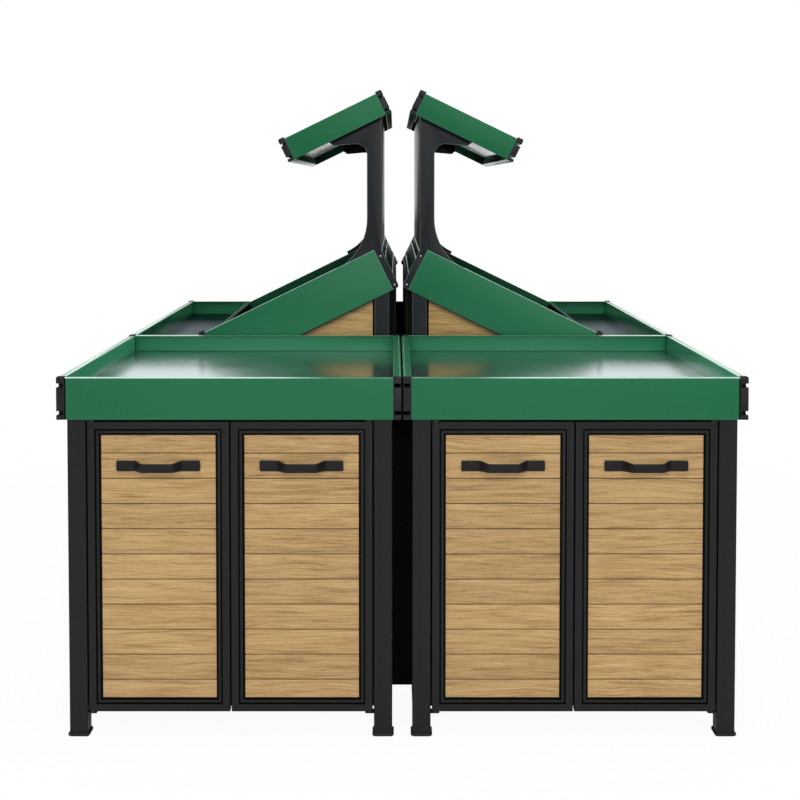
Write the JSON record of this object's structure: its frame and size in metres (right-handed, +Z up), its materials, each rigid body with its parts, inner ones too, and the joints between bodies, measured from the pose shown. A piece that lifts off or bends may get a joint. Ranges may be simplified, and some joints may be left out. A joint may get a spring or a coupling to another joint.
{
  "type": "produce display rack",
  "caption": "Double-sided produce island: flat end trays over wood-slat cabinets, then inclined trays with a raised top tray on steel side plates.",
  "frame": {"origin": "on the floor, under the centre of the overall box", "axes": "+X across the island to the right, +Y along the island away from the door end, +Z up"},
  "size_m": [1.5, 2.125, 1.4663],
  "materials": {
    "green_sheet": "semi-gloss green powder coat on folded sheet",
    "green_rail": "semi-gloss green powder coat on extruded rail",
    "black_coat": "fine matt black powder coat",
    "black_plastic": "moulded black plastic",
    "oak_board": "light oak, grain along the board",
    "steel_deck": "brushed stainless sheet",
    "bright_steel": "bright zinc-plated steel"
  },
  "bodies": {
    "rack": {"centre_fillers": "black_coat", "door_catches": "black_plastic", "end_cabinet_back_panels": "black_coat", "end_cabinet_inner_panels": "black_coat", "end_cabinet_left_legs": "black_coat", "end_cabinet_left_rails": "black_coat", "end_cabinet_left_side_boards": "oak_board", "end_cabinet_left_side_frame": "black_coat", "end_cabinet_right_legs": "black_coat", "end_cabinet_right_rails": "black_coat", "end_cabinet_right_side_boards": "oak_board", "end_cabinet_right_side_frame": "black_coat", "end_cabinet_shelves": "black_coat", "end_tray_end_caps": "black_plastic", "end_tray_left_deck": "steel_deck", "end_tray_left_edge_rails": "green_rail", "end_tray_left_panels": "green_sheet", "end_tray_right_deck": "steel_deck", "end_tray_right_edge_rails": "green_rail", "end_tray_right_panels": "green_sheet", "foot_glides": "black_plastic", "hinge_plates": "black_coat", "plate_bolts": "bright_steel", "rack_back_covers": "black_coat", "rack_left_legs": "black_coat", "rack_left_rails": "black_coat", "rack_left_side_plates": "black_coat", "rack_panel_boards": "oak_board", "rack_panel_frames": "black_coat", "rack_right_legs": "black_coat", "rack_right_rails": "black_coat", "rack_right_side_plates": "black_coat", "rack_tray_decks": "steel_deck", "rack_tray_edge_rails": "green_rail", "rack_tray_end_caps": "black_plastic", "rack_tray_panels": "green_sheet", "slope_tray_decks": "black_coat", "slope_tray_edge_rails": "green_rail", "slope_tray_infills": "oak_board", "slope_tray_panels": "green_sheet", "tie_bars": "black_coat", "top_tray_decks": "steel_deck", "top_tray_edge_rails": "green_rail", "top_tray_panels": "green_sheet"},
    "door_left_outer": {"door_left_outer_boards": "oak_board", "door_left_outer_frame": "black_coat", "door_left_outer_handle": "black_coat", "door_left_outer_pivot_pins": "bright_steel"},
    "door_left_inner": {"door_left_inner_boards": "oak_board", "door_left_inner_frame": "black_coat", "door_left_inner_handle": "black_coat", "door_left_inner_pivot_pins": "bright_steel"},
    "door_right_outer": {"door_right_outer_boards": "oak_board", "door_right_outer_frame": "black_coat", "door_right_outer_handle": "black_coat", "door_right_outer_pivot_pins": "bright_steel"},
    "door_right_inner": {"door_right_inner_boards": "oak_board", "door_right_inner_frame": "black_coat", "door_right_inner_handle": "black_coat", "door_right_inner_pivot_pins": "bright_steel"}
  },
  "joints": [
    {"name": "door_left_outer_hinge", "type": "hinge", "parent": "rack", "child": "door_left_outer", "pos_m": [-0.677, -1.0275, 0.374], "axis": [0, 0, -1], "range_deg": [0, 95]},
    {"name": "door_left_inner_hinge", "type": "hinge", "parent": "rack", "child": "door_left_inner", "pos_m": [-0.073, -1.0275, 0.374], "axis": [0, 0, 1], "range_deg": [0, 95]},
    {"name": "door_right_outer_hinge", "type": "hinge", "parent": "rack", "child": "door_right_outer", "pos_m": [0.677, -1.0275, 0.374], "axis": [0, 0, 1], "range_deg": [0, 95]},
    {"name": "door_right_inner_hinge", "type": "hinge", "parent": "rack", "child": "door_right_inner", "pos_m": [0.073, -1.0275, 0.374], "axis": [0, 0, -1], "range_deg": [0, 95]}
  ]
}
